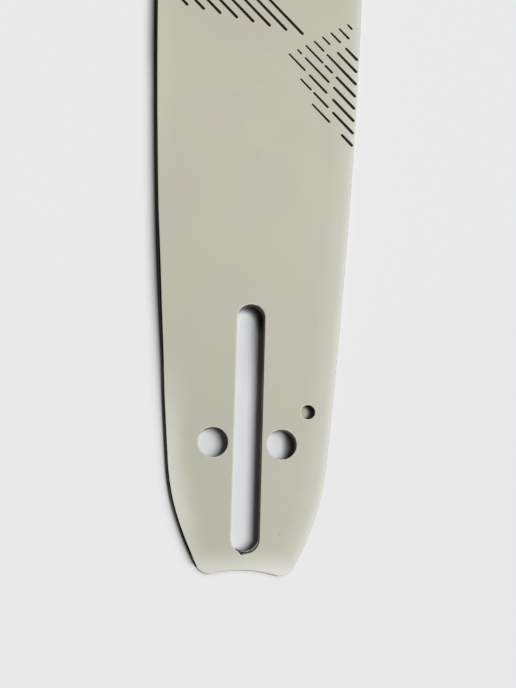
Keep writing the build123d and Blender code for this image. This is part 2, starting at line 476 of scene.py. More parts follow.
def plate_surface(sizes, nose, torn):
    """Points, faces, face materials and the rims that get a painted highlight, for the front plate.

    Edge sections are carried round its edge and every hole, with two flat faces between them.
    """
    countersink = nose.head_radius + nose.seam
    taper = nose.head_radius - nose.shank_radius
    rail_section = edge_section(sizes.rail_rim, sizes.inner_rim, sizes.land)
    hole_section = edge_section(sizes.hole_rim, sizes.inner_rim, sizes.land)
    rivet_section = edge_section(nose.head_rim, sizes.inner_rim, sizes.land, taper)
    holes = [slot_edge(sizes, torn)] + [mount_hole(name) for name in PLATE_MOUNTS]
    edges = [(*plate_edge(sizes), rail_section, RAIL)]
    edges += [(*hole, hole_section, CUT) for hole in holes]
    edges += [(*round_hole(place, countersink), rivet_section, CUT) for place in rivet_places(nose)]
    points, faces, zones, rim_highlights, top_rings, bottom_rings = [], [], [], [], [], []
    first = 0
    for edge, outward, section, wall in edges:
        strip = carry_round(edge, outward, section)
        rows, columns = strip.shape[:2]
        points.append(strip.reshape(-1, 3))
        faces += (first + grid_faces(rows, columns)).tolist()
        zones.append(edge_zones(edge, wall))
        rim_highlights.append(np.tile(highlight_rim(section, wall == CUT), rows))
        top_rings.append(first + np.arange(rows) * columns)
        bottom_rings.append(top_rings[-1] + columns - 1)
        first += rows * columns
    points = np.concatenate(points)
    top = fill_flat(points, top_rings, True)
    bottom = fill_flat(points, bottom_rings, False)
    zones += [np.full(len(top), PAINTED), np.full(len(bottom), INSIDE)]
    return points, faces + top.tolist() + bottom.tolist(), np.concatenate(zones), np.concatenate(rim_highlights)


def rivet_places(nose):
    """Middles of the rivets, evenly round the sprocket's axis, the first halfway to the second from +X."""
    angle = pi * (2 * np.arange(nose.rivet_count) + 1) / nose.rivet_count
    return np.array((0.0, NOSE_Y)) + nose.rivet_circle * spokes(angle)


DISH_START = 0.04  # share of a dish's radius that the small face in its middle takes


def rivet_surface(nose):
    """Points, faces and ring distances of the rivets: a half section turned round each rivet's axis.

    The section is a dished head with a rounded rim, a cone down to the shank, and the same again at the
    back. The dish is a parabola.
    """
    out = np.linspace(DISH_START, 1.0, DISH_STEPS)
    flat = nose.head_radius - nose.head_rim
    angle = np.linspace(0.0, pi / 2, RIM_STEPS)[1:]
    head = np.column_stack((out * flat, OUTER_FACE - nose.head_dish * (1 - out**2)))
    rim = (flat, OUTER_FACE) + nose.head_rim * np.column_stack((np.sin(angle), np.cos(angle) - 1))
    front = np.vstack((head, rim, (nose.shank_radius, INNER_FACE)))
    back = front[::-1] * (1, -1) + (0.0, OUTER_FACE)
    section = np.vstack((front, back))
    shape, faces = turned(section, RIVET_TURNS)
    places = np.column_stack((rivet_places(nose), np.zeros(nose.rivet_count)))
    points = (places[:, None, :] + shape).reshape(-1, 3)
    rings = np.tile(section[:, 0], RIVET_TURNS * nose.rivet_count)
    return points, repeated(faces, nose.rivet_count, len(shape)), rings


LIP_START, LIP_END = radians(-134), radians(-6)
LIP_WAVES = (6, 11, 19, 37)
LIP_GAP, LIP_WIDTH, LIP_DEPTH, LIP_ROOT = 0.00042, 0.00066, 0.00010, 0.0015
LIP_LEAST = 0.25  # share of the burr's size where its ragged line is lowest
LIP_END_SIZE = 0.02  # and at its two ends
LIP_LOWEST = 1.6  # depths below the face of its tip where the ragged line is lowest

# The burr's section, point by point: shares of its gap and of its width off the wall, metres inside the
# wall, 1 at the height of its tip or 0 at that of its root, metres above that, and 1 on its crest
LIP_SECTION = np.array(
    [
        (0.0, 0.0, 0.00005, 0, 0.0, 0.0),
        (0.6, 0.0, 0.0, 0, 0.00020, 0.0),
        (1.0, 0.0, 0.0, 1, 0.0, 1.0),
        (1.0, 0.5, 0.0, 1, 0.00008, 0.5),
        (1.0, 1.0, 0.0, 1, -0.00010, 0.0),
        (0.9, 0.0, 0.0, 0, -0.00012, 0.0),
        (0.0, 0.0, 0.00005, 0, -0.00030, 0.0),
    ]
)


def lip_surface(sizes):
    """Points, faces and crest of the burr that stands inside the slot's torn end.

    Its section is a thin hook, rooted in the wall below the face and turned up beside it. It is carried
    along the end's half circle, while its width and height follow a ragged line and fade out at both ends.
    """
    radius, reach = slot_ends(sizes)
    angle = np.linspace(LIP_START, LIP_END, TEAR_STEPS)
    rag = ragged(angle, LIP_WAVES)
    size = (LIP_LEAST + (1 - LIP_LEAST) * rag) * swell(angle, LIP_START, LIP_END) + LIP_END_SIZE
    tip = OUTER_FACE - LIP_DEPTH * (LIP_LOWEST - rag)
    gaps, widths, sunk, at_tip, rise, crest = LIP_SECTION.T
    off_wall = np.outer(size, LIP_GAP * gaps + LIP_WIDTH * widths) - sunk
    height = np.where(at_tip, tip[:, None], OUTER_FACE - LIP_ROOT) + np.outer(size, rise)
    plan = (radius - off_wall)[:, :, None] * spokes(angle)[:, None, :] + (0.0, -reach)
    points = np.dstack((plan, height)).reshape(-1, 3)
    return points, rod_faces(TEAR_STEPS, len(LIP_SECTION)), np.tile(crest, TEAR_STEPS)


NIB_FIELD = ((-0.024, -0.032), (0.024, 0.375))  # opposite corners of the stretch that has nibs
NIB_SIZES = (0.45, 1.0)  # smallest and largest nib, as shares of the largest
NIB_OFF_SLOT = 0.6  # share of the slot's length, either way from its middle, that has none
NIB_START = 0.06  # share of a nib's radius that the small face at its top takes
NIB_BELL = 1.5  # a nib's bell curve is cut off at so many widths
NIB_SUNK = 0.1  # share of a nib's height that is below the face


def nib_surface(plate, sizes):
    """Points and faces of the nibs: a bell curve, cut off at its foot, turned round each nib's axis.

    Nibs have random places and sizes. One that would stand at the slot or at a hole is left out.
    """
    chance = np.random.default_rng(sizes.seed)
    places = chance.uniform(*NIB_FIELD, (sizes.count, 2))
    scale = chance.uniform(*NIB_SIZES, sizes.count)
    off_slot = (np.abs(places) > (plate.slot_width, NIB_OFF_SLOT * plate.slot_length)).any(axis=1)
    holes = np.array([mount["pos_m"][:2] for mount in MOUNTS.values() if mount["kind"] == "bore"])
    off_holes = (np.linalg.norm(places[:, None, :] - holes, axis=2) > plate.slot_width).all(axis=1)
    places, scale = places[off_slot & off_holes], scale[off_slot & off_holes]
    out = np.linspace(NIB_START, 1.0, NIB_RINGS)
    bell = np.exp(-((NIB_BELL * out) ** 2)) - np.exp(-(NIB_BELL**2))
    shape, faces = turned(np.column_stack((sizes.radius * out, sizes.height * bell)), NIB_TURNS)
    base = np.column_stack((places, np.full(len(places), OUTER_FACE - NIB_SUNK * sizes.height)))
    points = (base[:, None, :] + scale[:, None, None] * shape).reshape(-1, 3)
    return points, repeated(faces, len(places), len(shape))


def flank_x(sizes, y):
    """Half the bar's width at each distance along it, on the flank's rear arc."""
    return HALF_WIDTH - sizes.flank_radius + np.sqrt(sizes.flank_radius**2 - (sizes.widest_y - y) ** 2)


MEET_ROUNDS = 4  # after which a line's end no longer moves


def meet_flank(plate, level, slope, side):
    """Where lines meet the right or left flank, by repeating x = half width at y = level + slope x."""
    x = np.full(len(level), side * HALF_WIDTH)
    for _ in range(MEET_ROUNDS):
        x = side * flank_x(plate, level + slope * x)
    return x


INK_START = 0.08  # angle at which a dash's rounded end starts, short of a point
INK_ACROSS = np.array((-1.0, -0.86, 0.86, 1.0))  # a dash's section, in half widths
INK_HEIGHT = np.array((-0.4, 1.0, 1.0, -0.4))  # and in heights of the film


def ink_surface(starts, ends, half, film):
    """Points and faces of printed dashes: a thin flat section carried along each, rounded at both ends.

    Half the width goes evenly from its value at one end to that at the other, and follows a quarter circle
    over the first and last stretch of its own length.
    """
    reach = np.linalg.norm(ends - starts, axis=1)
    ahead = (ends - starts) / reach[:, None]
    side = np.column_stack((-ahead[:, 1], ahead[:, 0]))
    swing = np.linspace(INK_START, pi / 2, INK_END_STEPS)
    near, round_off = 1 - np.cos(swing), np.sin(swing)
    along = np.concatenate((half[:, :1] * near, reach[:, None] - half[:, 1:] * near[::-1]), axis=1)
    width = np.concatenate((half[:, :1] * round_off, half[:, 1:] * round_off[::-1]), axis=1)
    plan = (
        starts[:, None, None, :]
        + along[:, :, None, None] * ahead[:, None, None, :]
        + (width[:, :, None] * INK_ACROSS)[:, :, :, None] * side[:, None, None, :]
    )
    height = OUTER_FACE + film * INK_HEIGHT
    points = np.concatenate((plan, np.broadcast_to(height[:, None], (*plan.shape[:3], 1))), axis=3)
    dashes, rows, columns = plan.shape[:3]
    return points.reshape(-1, 3), repeated(rod_faces(rows, columns), dashes, rows * columns)


HATCH_MARGIN = 0.15  # share of a line's width that is kept clear of the rail's rim
RIGHT_WEDGE_FOOT = 2  # lines below the right wedge's tip
RIGHT_WEDGE_STEPS = 0.62, 0.9  # lines above and below it start further right by these shares of the rise
LEFT_WEDGE_SLOPE = -0.19  # climb of the left wedge's lower side, towards the right
BREAK_PLACES = (0.08, 0.66)  # shares of a line between which it may break
BREAK_LENGTHS = (0.4, 1.7)  # shortest and longest break, as shares of the middling one
BREAKS = 2


def hatch_lines(plate, sizes):
    """Level at the bar's middle, left end and right end of each printed line: parallel lines in two wedges.

    The right wedge stands on the right rail. Its lines start on its two slanting sides and run down to the
    rail. The left wedge stands on the left rail, further along. Its lines start at the rail and run down to
    a lower side that climbs slowly.
    """
    slope = tan(sizes.angle)
    rise = sizes.pitch / cos(sizes.angle)
    margin = plate.rail_rim + HATCH_MARGIN * sizes.line_width
    number = np.arange(sizes.right_lines)
    level = sizes.foot_y - slope * flank_x(plate, sizes.foot_y) + rise * number
    above, below = np.maximum(number - RIGHT_WEDGE_FOOT, 0), np.maximum(RIGHT_WEDGE_FOOT - number, 0)
    left = sizes.right_tip_x + rise * (RIGHT_WEDGE_STEPS[0] * above + RIGHT_WEDGE_STEPS[1] * below)
    right_wedge = level, left, meet_flank(plate, level, slope, 1) - margin
    level = sizes.left_tip_y - slope * sizes.left_tip_x - rise * np.arange(sizes.left_lines)
    lower = sizes.left_tip_y - LEFT_WEDGE_SLOPE * sizes.left_tip_x
    right = (lower - level) / (slope - LEFT_WEDGE_SLOPE)
    left_wedge = level, meet_flank(plate, level, slope, -1) + margin, right
    return joined((right_wedge, left_wedge))


def hatch_dashes(plate, sizes):
    """Starts, ends and half widths of the dashes: lines with random breaks that widen rightward."""
    slope = tan(sizes.angle)
    level, left, right = hatch_lines(plate, sizes)
    run = (right - left)[:, None]
    chance = np.random.default_rng(sizes.seed)
    breaks = np.sort(chance.uniform(*BREAK_PLACES, (len(run), BREAKS)), axis=1) * run
    gaps = sizes.gap * chance.uniform(*BREAK_LENGTHS, (len(run), BREAKS))
    first = np.concatenate((0 * run, breaks + gaps), axis=1)
    last = np.concatenate((breaks, run), axis=1)
    long = last - first > sizes.line_width
    along = np.stack((first / run, last / run), axis=-1)[long]
    half = sizes.line_width / 2 * (sizes.taper + (1 - sizes.taper) * along)
    level, left = (np.broadcast_to(part[:, None], long.shape)[long] for part in (level, left))
    across = left + first[long], left + last[long]
    return *(np.column_stack((x, level + slope * x)) for x in across), half


def new_object(name, points, faces, materials, slot, zones=None, **values):
    """A mesh piece at the origin that moves with the bar and keeps further values for its points."""
    mesh = bpy.data.meshes.new(name)
    mesh.from_pydata(points.tolist(), [], faces)
    for material in materials:
        mesh.materials.append(material)
    if zones is not None:
        mesh.polygons.foreach_set("material_index", zones.astype(np.int32))
    mesh.shade_smooth()
    if mesh.validate():
        raise RuntimeError(f"the mesh of {name} has faults")
    for key, value in values.items():
        mesh.attributes.new(key, "FLOAT", "POINT").data.foreach_set("value", value.astype(np.float32))
    piece = bpy.data.objects.new(name, mesh)
    bpy.context.scene.collection.objects.link(piece)
    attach(piece, "bar")
    return piece


# Shader nodes


class Wire:
    """An output of a shader node. Sums and comparisons with it add Math nodes to its tree."""

    def __init__(self, socket):
        self.socket = socket
        self.tree = socket.id_data

    def math(self, operation, *others):
        """A Math node whose first value is this one."""
        return add(self.tree, "ShaderNodeMath", enumerate((self, *others)), operation=operation)

    def __add__(self, other):
        return self.math("ADD", other)

    def __sub__(self, other):
        return self.math("SUBTRACT", other)

    def __rsub__(self, other):
        return add(self.tree, "ShaderNodeMath", {0: other, 1: self}, operation="SUBTRACT")

    def __mul__(self, other):
        return self.math("MULTIPLY", other)

    def __truediv__(self, other):
        return self.math("DIVIDE", other)

    def __abs__(self):
        return self.math("ABSOLUTE")

    def __gt__(self, other):
        return self.math("GREATER_THAN", other)

    def __lt__(self, other):
        return self.math("LESS_THAN", other)

    def at_least(self, other):
        """The larger of this and another value."""
        return self.math("MAXIMUM", other)

    def fade(self, one_at, zero_at):
        """1 at one value, 0 at another, and smooth between them."""
        inputs = {"Value": self, "From Min": zero_at, "From Max": one_at}
        return add(self.tree, "ShaderNodeMapRange", inputs, interpolation_type="SMOOTHSTEP")

    def spread(self, low, high):
        """A value between 0 and 1, spread evenly over another range."""
        return add(self.tree, "ShaderNodeMapRange", {"Value": self, "To Min": low, "To Max": high})

    def mix(self, first, second):
        """A colour that goes from the first to the second as this value goes from 0 to 1."""
        return mixed(self.tree, self, first, second)

    def choose(self, first, second):
        """A value that goes from the first to the second as this one goes from 0 to 1."""
        return add(self.tree, "ShaderNodeMix", {"Factor": self, 2: first, 3: second}, data_type="FLOAT")

    def axes(self):
        """The three coordinates of a place."""
        return [Wire(socket) for socket in new_node(self.tree, "ShaderNodeSeparateXYZ", {0: self}).outputs]

    def noise(self, per_metre, detail=3.0, stretch=(1.0, 1.0, 1.0)):
        """Noise from 0 to 1 at a place, about so many waves a metre, finer or coarser along each axis."""
        laid = add(self.tree, "ShaderNodeVectorMath", {0: self, 1: stretch}, operation="MULTIPLY")
        return add(self.tree, "ShaderNodeTexNoise", {"Vector": laid, "Scale": per_metre, "Detail": detail})

    def rings(self, per_metre):
        """Noise from 0 to 1 along a distance alone, about so many waves a metre."""
        inputs = {"W": self * per_metre, "Scale": 1.0}
        return add(self.tree, "ShaderNodeTexNoise", inputs, noise_dimensions="1D")

    def bump(self, strength, distance):
        """A normal that follows this value as a height."""
        inputs = {"Height": self, "Strength": strength, "Distance": distance}
        return add(self.tree, "ShaderNodeBump", inputs)


def fill(socket, value):
    """Joins a wire to a node's input, or sets a plain value or colour there."""
    if isinstance(value, Wire):
        value.tree.links.new(value.socket, socket)
    else:
        socket.default_value = (*value[:3], 1.0) if socket.type == "RGBA" else value


def new_node(tree, kind, inputs=(), **settings):
    """A new node with its settings, and its inputs filled."""
    node = tree.nodes.new(kind)
    for name, value in settings.items():
        setattr(node, name, value)
    for key, value in dict(inputs).items():
        fill(node.inputs[key], value)
    return node


def add(tree, kind, inputs=(), output=0, **settings):
    """The wire from one output of a new node."""
    return Wire(new_node(tree, kind, inputs, **settings).outputs[output])


def wires(node):
    """The wires from a node's outputs, by name."""
    return {socket.name: Wire(socket) for socket in node.outputs}


def mixed(tree, factor, first, second, blend="MIX"):
    """A colour that goes from the first to the second."""
    inputs = {"Factor": factor, 6: first, 7: second}
    return add(tree, "ShaderNodeMix", inputs, output=2, data_type="RGBA", blend_type=blend)


def span(x, y):
    """Length of a step of two wires: the square root of the sum of their squares."""
    return (x * x + y * y).math("SQRT")


VECTOR, FLOAT, COLOUR = "NodeSocketVector", "NodeSocketFloat", "NodeSocketColor"


def node_group(name, inputs, outputs):
    """An empty shader node group with its sockets, as (wires from its inputs, sockets of its outputs)."""
    tree = bpy.data.node_groups.new(name, "ShaderNodeTree")
    for socket, kind, default in inputs:
        made = tree.interface.new_socket(socket, in_out="INPUT", socket_type=kind)
        if default is not None:
            made.default_value = default
    for socket, kind in outputs:
        tree.interface.new_socket(socket, in_out="OUTPUT", socket_type=kind)
    return wires(tree.nodes.new("NodeGroupInput")), tree.nodes.new("NodeGroupOutput").inputs


def build_edge_distance(sizes):
    """Group: distance in from the bar's edge, in metres, worked out from the edge's arcs.

    Inside an arc it is the radius less the distance from the centre, and at the hollow the other way round.
    Which arc counts goes by Y, and the smaller of that and the hollow's distance is put out. The corner's
    arc counts between the two directions from its centre to the arcs that it joins.
    """
    shape = bar_arcs(sizes)
    given, result = node_group("Edge distance", [("Place", VECTOR, None)], [("Distance", FLOAT)])
    x, along, _ = given["Place"].axes()
    across = abs(x)

    def step(centre):
        return across - float(centre[0]), along - float(centre[1])

    def inside(centre, radius):
        return radius - span(*step(centre))

    def left_of(centre, angle):
        right, ahead = step(centre)
        return right * -sin(angle) + ahead * cos(angle) > 0.0

    rear, front = inside(shape.rear, sizes.flank_radius), inside(shape.front, shape.front_radius)
    flank = (along > sizes.widest_y).choose(rear, front)
    body = (along > sizes.turn_y).choose(inside(shape.shoulder, sizes.shoulder_radius), flank)
    whole_edge = (along > shape.nose_start_y).choose(body, inside(shape.nose, NOSE_RADIUS))
    tail = span(*step(shape.hollow)) - sizes.hollow_radius
    rounded = left_of(shape.corner, shape.hollow_end - pi) * left_of(shape.corner, shape.shoulder_end + pi)
    corner = inside(shape.corner, sizes.corner_radius)
    fill(result["Distance"], rounded.choose(whole_edge.math("MINIMUM", tail), corner))


SPECK_LEAST = 0.4  # the smallest speck, as a share of the size
SPECK_SLOPE, SPECK_SOFT = 2.0, 0.2  # how fast a speck comes in from its edge, and how softly it levels off


def build_specks():
    """Group: mask of small round specks, one in some of the cells of a Voronoi pattern."""
    sockets = [
        ("Place", VECTOR, None),
        ("Per metre", FLOAT, 90.0),
        ("Size", FLOAT, 0.02),
        ("Share", FLOAT, 0.15),
    ]
    given, result = node_group("Specks", sockets, [("Mask", FLOAT)])
    tree = given["Place"].tree
    inputs = {"Vector": given["Place"], "Scale": given["Per metre"], "Randomness": 1.0}
    cells = wires(new_node(tree, "ShaderNodeTexVoronoi", inputs, voronoi_dimensions="2D"))
    chance = wires(new_node(tree, "ShaderNodeSeparateColor", {0: cells["Color"]}))
    size = given["Size"] * (chance["Green"] + SPECK_LEAST)
    near = 1.0 - cells["Distance"] / size
    dot = (near * SPECK_SLOPE).at_least(0.0).math("SMOOTH_MIN", 1.0, SPECK_SOFT)
    fill(result["Mask"], (chance["Red"] < given["Share"]) * dot)


GRAIN_SLOW = 0.09  # the patches' waves a metre, as a share of the lines'


def build_grain():
    """Group: fine lines that a tool leaves in steel, and slow patches of wear."""
    sockets = [("Place", VECTOR, None), ("Stretch", VECTOR, (1.0, 1.0, 1.0)), ("Per metre", FLOAT, 600.0)]
    given, result = node_group("Tool grain", sockets, [("Lines", FLOAT), ("Patches", FLOAT)])
    place, per_metre = given["Place"], given["Per metre"]
    fill(result["Lines"], place.noise(per_metre, detail=4.0, stretch=given["Stretch"]))
    fill(result["Patches"], place.noise(per_metre * GRAIN_SLOW))


def build_temper():
    """Group: steel that goes through straw and brown to blue as its heat rises from 0 to 1."""
    sockets = [("Heat", FLOAT, 0.5)] + [(name, COLOUR, None) for name in ("Steel", "Brown", "Blue")]
    given, result = node_group("Temper", sockets, [("Colour", COLOUR)])
    straw = given["Heat"].fade(one_at=0.55, zero_at=0.10).mix(given["Steel"], given["Brown"])
    fill(result["Colour"], given["Heat"].fade(one_at=1.0, zero_at=0.65).mix(straw, given["Blue"]))


class Finish:
    """A new material with its Principled shader, its Object coordinates and its colour in the viewport."""

    def __init__(self, name, viewport, **fixed):
        self.material = bpy.data.materials.new(name)
        self.material.use_nodes = True
        self.material.diffuse_color = (*viewport, 1.0)
        self.tree = self.material.node_tree
        self.place = Wire(self.tree.nodes.new("ShaderNodeTexCoord").outputs["Object"])
        self.join(**fixed)

    def join(self, **inputs):
        """Joins wires to the shader's inputs, or sets plain values there, and gives the material."""
        shader = self.tree.nodes["Principled BSDF"]
        sockets = {socket.name.lower().replace(" ", "_"): socket for socket in shader.inputs}
        for key, value in inputs.items():
            fill(sockets[key], value)
        return self.material

    def tooled(self, tone, marks, rough, relief):
        """Joins a colour, and roughness and relief that follow tool marks, and gives the material."""
        return self.join(base_color=tone, roughness=marks.spread(*rough), normal=marks.bump(*relief))

    def attribute(self, name):
        """A value that the piece keeps for each of its points."""
        return add(self.tree, "ShaderNodeAttribute", output="Fac", attribute_name=name)

    def group(self, name, **inputs):
        """The wires from a node group that is placed here with its own values."""
        node = new_node(self.tree, "ShaderNodeGroup", node_tree=bpy.data.node_groups[name])
        if "Place" in node.inputs:
            fill(node.inputs["Place"], self.place)
        for key, value in inputs.items():
            fill(node.inputs[key.replace("_", " ").capitalize()], value)
        return wires(node)

    def grain(self, stretch, per_metre):
        """Lines and patches of tool grain."""
        found = self.group("Tool grain", stretch=stretch, per_metre=per_metre)
        return found["Lines"], found["Patches"]

    def edge_distance(self):
        """Distance in from the bar's edge."""
        return self.group("Edge distance")["Distance"]

    def tempered(self, heat, colours):
        """Colour of steel that has had a heat from 0 to 1."""
        tints = {"steel": colours.steel, "brown": colours.temper, "blue": colours.temper_blue}
        return self.group("Temper", heat=heat, **tints)["Colour"]


# Across the bar
RIGHTWARD = 0.010, -0.006  # the paint goes from its left half's state to its right half's between these
RAIL_LEFT = -0.006, 0.006  # and the rails from the right one's to the left one's, which has painted shade
HOLE_X = 0.005  # the round holes lie outside this

# Painted shade: a black line along the left edge of the paint, standing for the left edge's shade
LEFT_SHADE_EDGE = 0.00049, 0.00061  # black out to the first distance from the edge, clear from the second
LEFT_SHADE_END = -0.0424, -0.0442  # along the bar, the line fades out between these
LEFT_SHADE_SIDE = -0.0160, -0.0135  # and across it
LEFT_SHADE_NARROW, LEFT_SHADE_DRAW = (0.080, 0.045), 0.00041  # from the second to the first, it draws back into the rim
LEFT_SHADE_TAIL_DRAW = 0.00025  # and it draws back a little by the holes
BY_HOLES, BY_HOLES_RUN = -0.006, (0.012, 0.030)  # the holes' Y, and distances from it: full, gone
LEFT_SHADE_ROUGH = 0.7

# Painted shade: black along the slot's right edge, whose wall lies in shadow
SHADED_SLOT_EDGE = 0.00015, 0.00034  # out to the first distance from the edge, clear from the second
SHADED_SLOT_SIDE = 0.0030, 0.0005  # across the slot, from the second to the first

# Paler paint along the edges and over the tail: a painted highlight
HIGHLIGHT_WIDE, HIGHLIGHT_NEAR = 0.0085, 0.0026  # gone at these distances from the edge
HIGHLIGHT_RIGHT_WIDE, HIGHLIGHT_RIGHT_NEAR = 0.30, 0.38  # shares of both along the right edge
HIGHLIGHT_LEFT = -0.012, 0.026  # along the bar, the left edge's comes in from the second to the first
HIGHLIGHT_END, HIGHLIGHT_LEFT_SHARES = (-0.034, -0.024), (0.62, 0.33)  # and its share falls towards the tail
HIGHLIGHT_FRONT, HIGHLIGHT_FRONT_SHARE = (0.100, 0.070), 0.14  # a little comes in along the front half's left edge
HIGHLIGHT_TAIL, HIGHLIGHT_TAIL_SHARES = (-0.0435, -0.0345), (0.66, 0.90)  # and towards the tail, more on the right

# Darker paint in patches, most towards the tail
DARKER_RUN = -0.030, 0.100  # along the bar, from the second to the first
DARKER_SIDES = 1.0, 0.8  # shares on the left and on the right

RIM_HIGHLIGHT, GRAIN_SHARE, SPECK_SHARE = 0.25, 0.05, 0.45  # of the painted highlight on the holes' rims, of grain and of specks


def by_holes(y):
    """1 beside the round holes, falling to 0 along the bar."""
    return abs(y - BY_HOLES).fade(*BY_HOLES_RUN)


def edge_highlight(place, distance, rightward, y):
    """Share of paler paint as a painted highlight: within a wandering distance of the edges, and all over the
    tail's end.
    """
    wander = place.noise(per_metre=55.0).spread(low=0.6, high=1.4)
    wide = (distance / wander).fade(one_at=0.0, zero_at=HIGHLIGHT_WIDE)
    near = distance.fade(one_at=0.0, zero_at=HIGHLIGHT_NEAR)
    left = y.fade(*HIGHLIGHT_LEFT) * y.fade(*HIGHLIGHT_END).spread(*HIGHLIGHT_LEFT_SHARES)
    left = left + y.fade(*HIGHLIGHT_FRONT) * HIGHLIGHT_FRONT_SHARE
    edge = rightward.choose(wide * left, wide * HIGHLIGHT_RIGHT_WIDE + near * HIGHLIGHT_RIGHT_NEAR)
    return edge.at_least(y.fade(*HIGHLIGHT_TAIL) * rightward.spread(*HIGHLIGHT_TAIL_SHARES))


def darker_paint(patches, rightward, y):
    """Share of darker paint, in patches, most towards the tail."""
    patchy = patches.fade(one_at=0.30, zero_at=0.75).spread(low=0.75, high=1.0)
    return y.fade(*DARKER_RUN) * patchy * rightward.spread(*DARKER_SIDES)


def left_edge_shade(distance, x, y):
    """Share of black painted as shade along the left edge."""
    drawn = distance + y.fade(*LEFT_SHADE_NARROW) * LEFT_SHADE_DRAW + by_holes(y) * LEFT_SHADE_TAIL_DRAW
    return x.fade(*LEFT_SHADE_SIDE) * y.fade(*LEFT_SHADE_END) * drawn.fade(*LEFT_SHADE_EDGE)


def slot_edge_shade(sizes, x, y):
    """Share of black painted as shade beside the slot's right edge, by the distance from its edge."""
    radius, reach = slot_ends(sizes)
    off_slot = span(x, (abs(y) - reach).at_least(0.0)) - radius
    return off_slot.fade(*SHADED_SLOT_EDGE) * x.fade(*SHADED_SLOT_SIDE)


def plate_paint(colours, sizes):
    """Satin paint: warm patches, darker towards the tail, orange peel, dark specks, a painted highlight at the
    edges and rims, and painted shade on the left edge and by the slot.
    """
    finish = Finish("plate_paint", colours.paint)
    place, distance = finish.place, finish.edge_distance()
    x, y, _ = place.axes()
    rightward = x.fade(*RIGHTWARD)
    patches = place.noise(per_metre=38.0, detail=2.0)
    grain = place.noise(per_metre=2600.0, detail=2.0)
    peel = place.noise(per_metre=820.0, detail=1.0)
    specks = finish.group("Specks", per_metre=62.0, size=0.014, share=0.10)["Mask"]
    left_shade = left_edge_shade(distance, x, y)
    film = patches.fade(one_at=0.62, zero_at=0.42).mix(colours.paint, colours.paint_warm)
    film = darker_paint(patches, rightward, y).mix(film, colours.paint_darker)
    # painted highlight: paler paint along the edges and over the tail
    film = edge_highlight(place, distance, rightward, y).mix(film, colours.paint_highlight)
    # painted highlight: paler paint on the rims of the slot and the holes
    film = (finish.attribute("rim") * RIM_HIGHLIGHT).mix(film, colours.paint_highlight)
    # painted shade: black line along the left edge
    film = left_shade.mix(film, colours.shade_brown_black)
    # painted shade: black along the slot's right edge
    film = slot_edge_shade(sizes, x, y).mix(film, colours.shade_black)
    film = mixed(finish.tree, GRAIN_SHARE, film, grain, blend="OVERLAY")
    film = (specks * SPECK_SHARE).mix(film, colours.dark_steel)
    rough = left_shade.choose(place.noise(per_metre=140.0).spread(low=0.40, high=0.54), LEFT_SHADE_ROUGH)
    relief = peel.bump(strength=0.10, distance=0.00004)
    return finish.join(base_color=film, roughness=rough, metallic=left_shade, normal=relief)


def rail_tone(finish, colours):
    """Colour, grinding lines and painted-shade share of a rail: steel with uneven bands of temper colours, painted
    nearly black on the left as shade.
    """
    lines, _ = finish.grain(stretch=(6.0, 0.05, 9.0), per_metre=900.0)
    heat = finish.place.noise(per_metre=60.0, stretch=(1.0, 0.3, 4.0)).spread(low=0.05, high=0.75)
    tone = lines.spread(low=0.0, high=0.6).mix(finish.tempered(heat, colours), colours.dark_steel)
    # painted shade: the left rail nearly black
    left_shade = finish.place.axes()[0].fade(*RAIL_LEFT) * lines.spread(low=1.0, high=0.97)
    return left_shade.mix(tone, colours.shade_brown_black), lines, left_shade


def rail_steel(colours):
    """Ground rail: long grinding lines, the brown that hardening leaves in uneven bands, and painted shade nearly
    black on the left.
    """
    finish = Finish("rail_steel", colours.steel, metallic=0.85)
    tone, lines, left_shade = rail_tone(finish, colours)
    rough = left_shade.choose(lines.spread(low=0.30, high=0.55), LEFT_SHADE_ROUGH)
    return finish.join(base_color=tone, roughness=rough, normal=lines.bump(strength=0.25, distance=0.00003))


RIM_BARE = 0.372, 0.335  # the chain has bared both rims round the nose, from the second to the first
RIM_WANDER = -0.03, 0.03  # and that border wanders along the bar


def rail_rim(colours):
    """Rim of a rail: worn to the steel round the nose and on the left, where it is painted nearly black as shade,
    still painted on the right.
    """
    finish = Finish("rail_rim", colours.steel)
    tone, lines, left_shade = rail_tone(finish, colours)
    x, y, _ = finish.place.axes()
    along = y + finish.place.noise(per_metre=240.0).spread(*RIM_WANDER)
    # bare on the left, where the rail is painted black as shade, and round the nose, where the chain wore it
    worn = x.fade(*RAIL_LEFT).at_least(along.fade(*RIM_BARE))
    tone = worn.mix(colours.paint_rim, tone)
    rough = left_shade.choose(worn.spread(low=0.46, high=0.42), LEFT_SHADE_ROUGH)
    relief = lines.bump(strength=0.1, distance=0.00002)
    return finish.join(base_color=tone, roughness=rough, metallic=worn, normal=relief)


LIT_FRONT_END, LIT_FRONT_END_DARK = (0.0362, 0.0335), 0.45  # painted light: the slot's wall is paler at its front end, where light bounces onto it
WORN_SHARE = 0.6  # of bare steel where the coat is worn


def cut_wall(colours):
    """Punched wall of a hole: torn steel under a thin, uneven coat of paint, darker in the round holes as painted
    shade and paler at the slot's front end as painted light.
    """
    finish = Finish("cut_wall", colours.dark_steel)
    lines, _ = finish.grain(stretch=(1.0, 1.0, 0.08), per_metre=1500.0)
    x, y, _ = finish.place.axes()
    worn = finish.place.noise(per_metre=420.0, stretch=(1.0, 1.0, 0.2)).fade(one_at=0.64, zero_at=0.48)
    # painted shade: the walls of the round holes are darker than the slot's
    dark_share = (abs(x) > HOLE_X).choose(lines.spread(low=0.88, high=1.0), lines.spread(low=0.70, high=0.95))
    dark = y.fade(*LIT_FRONT_END).choose(dark_share, LIT_FRONT_END_DARK)
    tone = (worn * WORN_SHARE).mix(dark.mix(colours.paint, colours.dark_steel), colours.dark_steel)
    return finish.tooled(tone, lines, rough=(0.5, 0.8), relief=(0.35, 0.00006))


